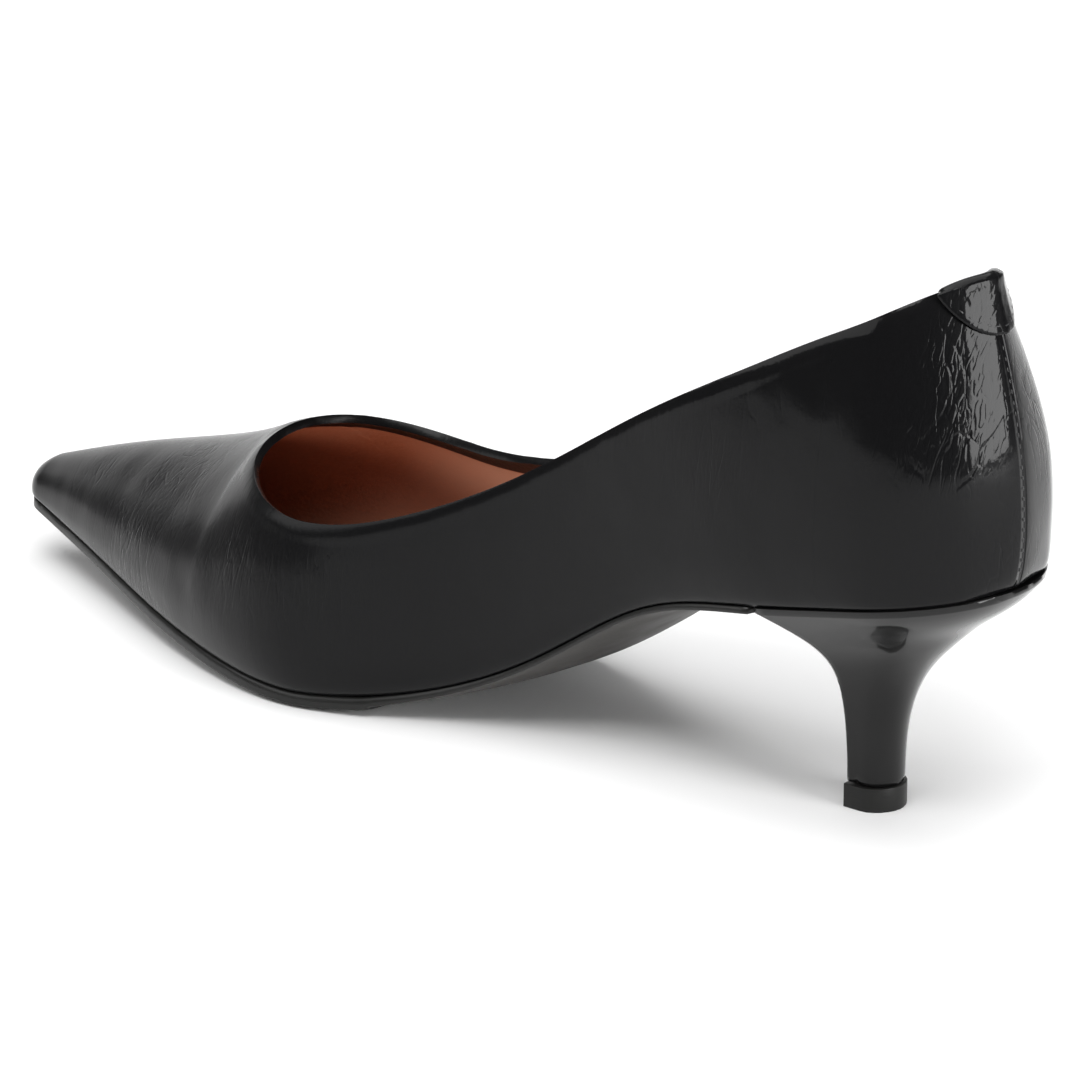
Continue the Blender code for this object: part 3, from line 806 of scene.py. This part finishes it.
# Heel
# Moulded ABS, lacquered black and polished. It is nailed and glued under the seat, with its flat
# breast against the end of the sole.
SEAT_SLOPE = 0.08
POLISHING_RIPPLE = 0.009

heel = rounded_copy("heel", "lacquered_heel", 40, 0.85, 2)

# The seat with its whole rim is bedded against the sole and the leather in the same way
seat = {v for face in heel.data.polygons if face.normal.z > SEAT_SLOPE for v in face.vertices}
for index in seat:
    heel.data.vertices[index].co.z += BEDDING

# Lacquer: a clear polished film over black, with a faint ripple, so it mirrors its surroundings
lacquer, tree, surface, place = new_material(
    "polished_black_lacquer", Base_Color=linear("#111111"), Roughness=0.3,
    Specular_IOR_Level=0.05, Coat_Weight=1.0, Coat_Roughness=0.03, Coat_IOR=1.31
)
flow = add_node(
    tree, "ShaderNodeTexNoise", {}, {"Scale": 1 / POLISHING_RIPPLE, "Detail": 1.0},
    {"Vector": place},
)
ripple = add_node(
    tree, "ShaderNodeBump", {}, {"Distance": 0.0001, "Strength": 0.3},
    {"Height": flow.outputs["Fac"]},
)
tree.links.new(ripple.outputs[0], surface.inputs["Normal"])
heel.data.materials.append(lacquer)
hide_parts("heel")
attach(heel, "root")


# Top piece
# A hard polyurethane lift, pinned into the heel. Its rim is buffed and stands a little proud.
LIFT_EDGE = 0.0003
BUFFING_MARK = 0.003

lift = copy_of("top_piece", "polyurethane_top_piece")
apply_modifier(
    lift, "BEVEL", width=LIFT_EDGE, segments=3, limit_method="ANGLE", angle_limit=radians(50)
)
bpy.ops.object.shade_smooth_by_angle(angle=radians(40))

# Polyurethane: black all through and buffed round the rim, so it has a soft broken sheen
polyurethane, tree, surface, place = new_material(
    "buffed_black_polyurethane", Base_Color=linear("#1B1B1A"), Roughness=0.38,
    Specular_IOR_Level=0.25
)
buffing = add_node(tree, "ShaderNodeMapping", {}, {"Scale": (1.0, 1.0, 8.0)}, {"Vector": place})
marks = add_node(
    tree, "ShaderNodeTexNoise", {}, {"Scale": 1 / BUFFING_MARK, "Detail": 3.0},
    {"Vector": buffing.outputs[0]},
)
grain = add_node(
    tree, "ShaderNodeBump", {}, {"Distance": 0.0001, "Strength": 0.5},
    {"Height": marks.outputs["Fac"]},
)
tree.links.new(grain.outputs[0], surface.inputs["Normal"])
lift.data.materials.append(polyurethane)
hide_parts("top_piece")
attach(lift, "root")


# Studio
# A white paper sweep under soft boxes: one overhead, one above the camera's side, one left of the
# toe, one low behind the heel that draws the counter's highlight, and a bright wall beyond the
# shoe. The room between them stays dim.
FLOOR_SIZE = 8.0
ROOM_GREY = (0.5, 0.5, 0.5, 1.0)
ROOM_STRENGTH = 0.12

bpy.ops.mesh.primitive_plane_add(size=FLOOR_SIZE, location=(0, 0, 0))
floor = bpy.context.object
floor.name = "studio_floor"
paper = new_material(
    "white_sweep_paper", Base_Color=(0.92, 0.92, 0.92, 1.0), Roughness=0.9
)[0]
floor.data.materials.append(paper)

SOFT_BOXES = (
    # name, centre, aim, width, height, radiance
    ("overhead", (0.15, 0.3, 1.5), (0.0, 0.1, 0.0), 1.9, 1.9, 2.35),
    ("camera_side", (-0.75, -0.38, 1.25), (0.0, 0.1, 0.05), 1.1, 0.5, 7.0),
    ("left_of_toe", (-1.15, 0.96, 0.80), (0.0, 0.1, 0.05), 1.6, 0.7, 2.2),
    ("behind_heel", (0.02, -0.95, 0.27), (0.0, -0.03, 0.12), 0.46, 0.46, 13.0),
    ("wall_beyond", (1.35, 1.75, 0.42), (0.0, 0.1, 0.05), 3.2, 0.8, 1.2),
)
for name, centre, aim, width, height, radiance in SOFT_BOXES:
    light = bpy.data.objects.new(name, bpy.data.lights.new(name, "AREA"))
    light.data.shape = "RECTANGLE"
    light.data.size = width
    light.data.size_y = height
    light.data.energy = radiance * pi * width * height
    turned = (Vector(aim) - Vector(centre)).to_track_quat("-Z", "Y").to_matrix().to_4x4()
    light.matrix_world = Matrix.Translation(centre) @ turned
    bpy.context.scene.collection.objects.link(light)

world = bpy.data.worlds.new("studio_room")
world.use_nodes = True
room_light = world.node_tree.nodes["Background"]
room_light.inputs["Color"].default_value = ROOM_GREY
room_light.inputs["Strength"].default_value = ROOM_STRENGTH
bpy.context.scene.world = world
bpy.context.scene.view_settings.view_transform = "Standard"
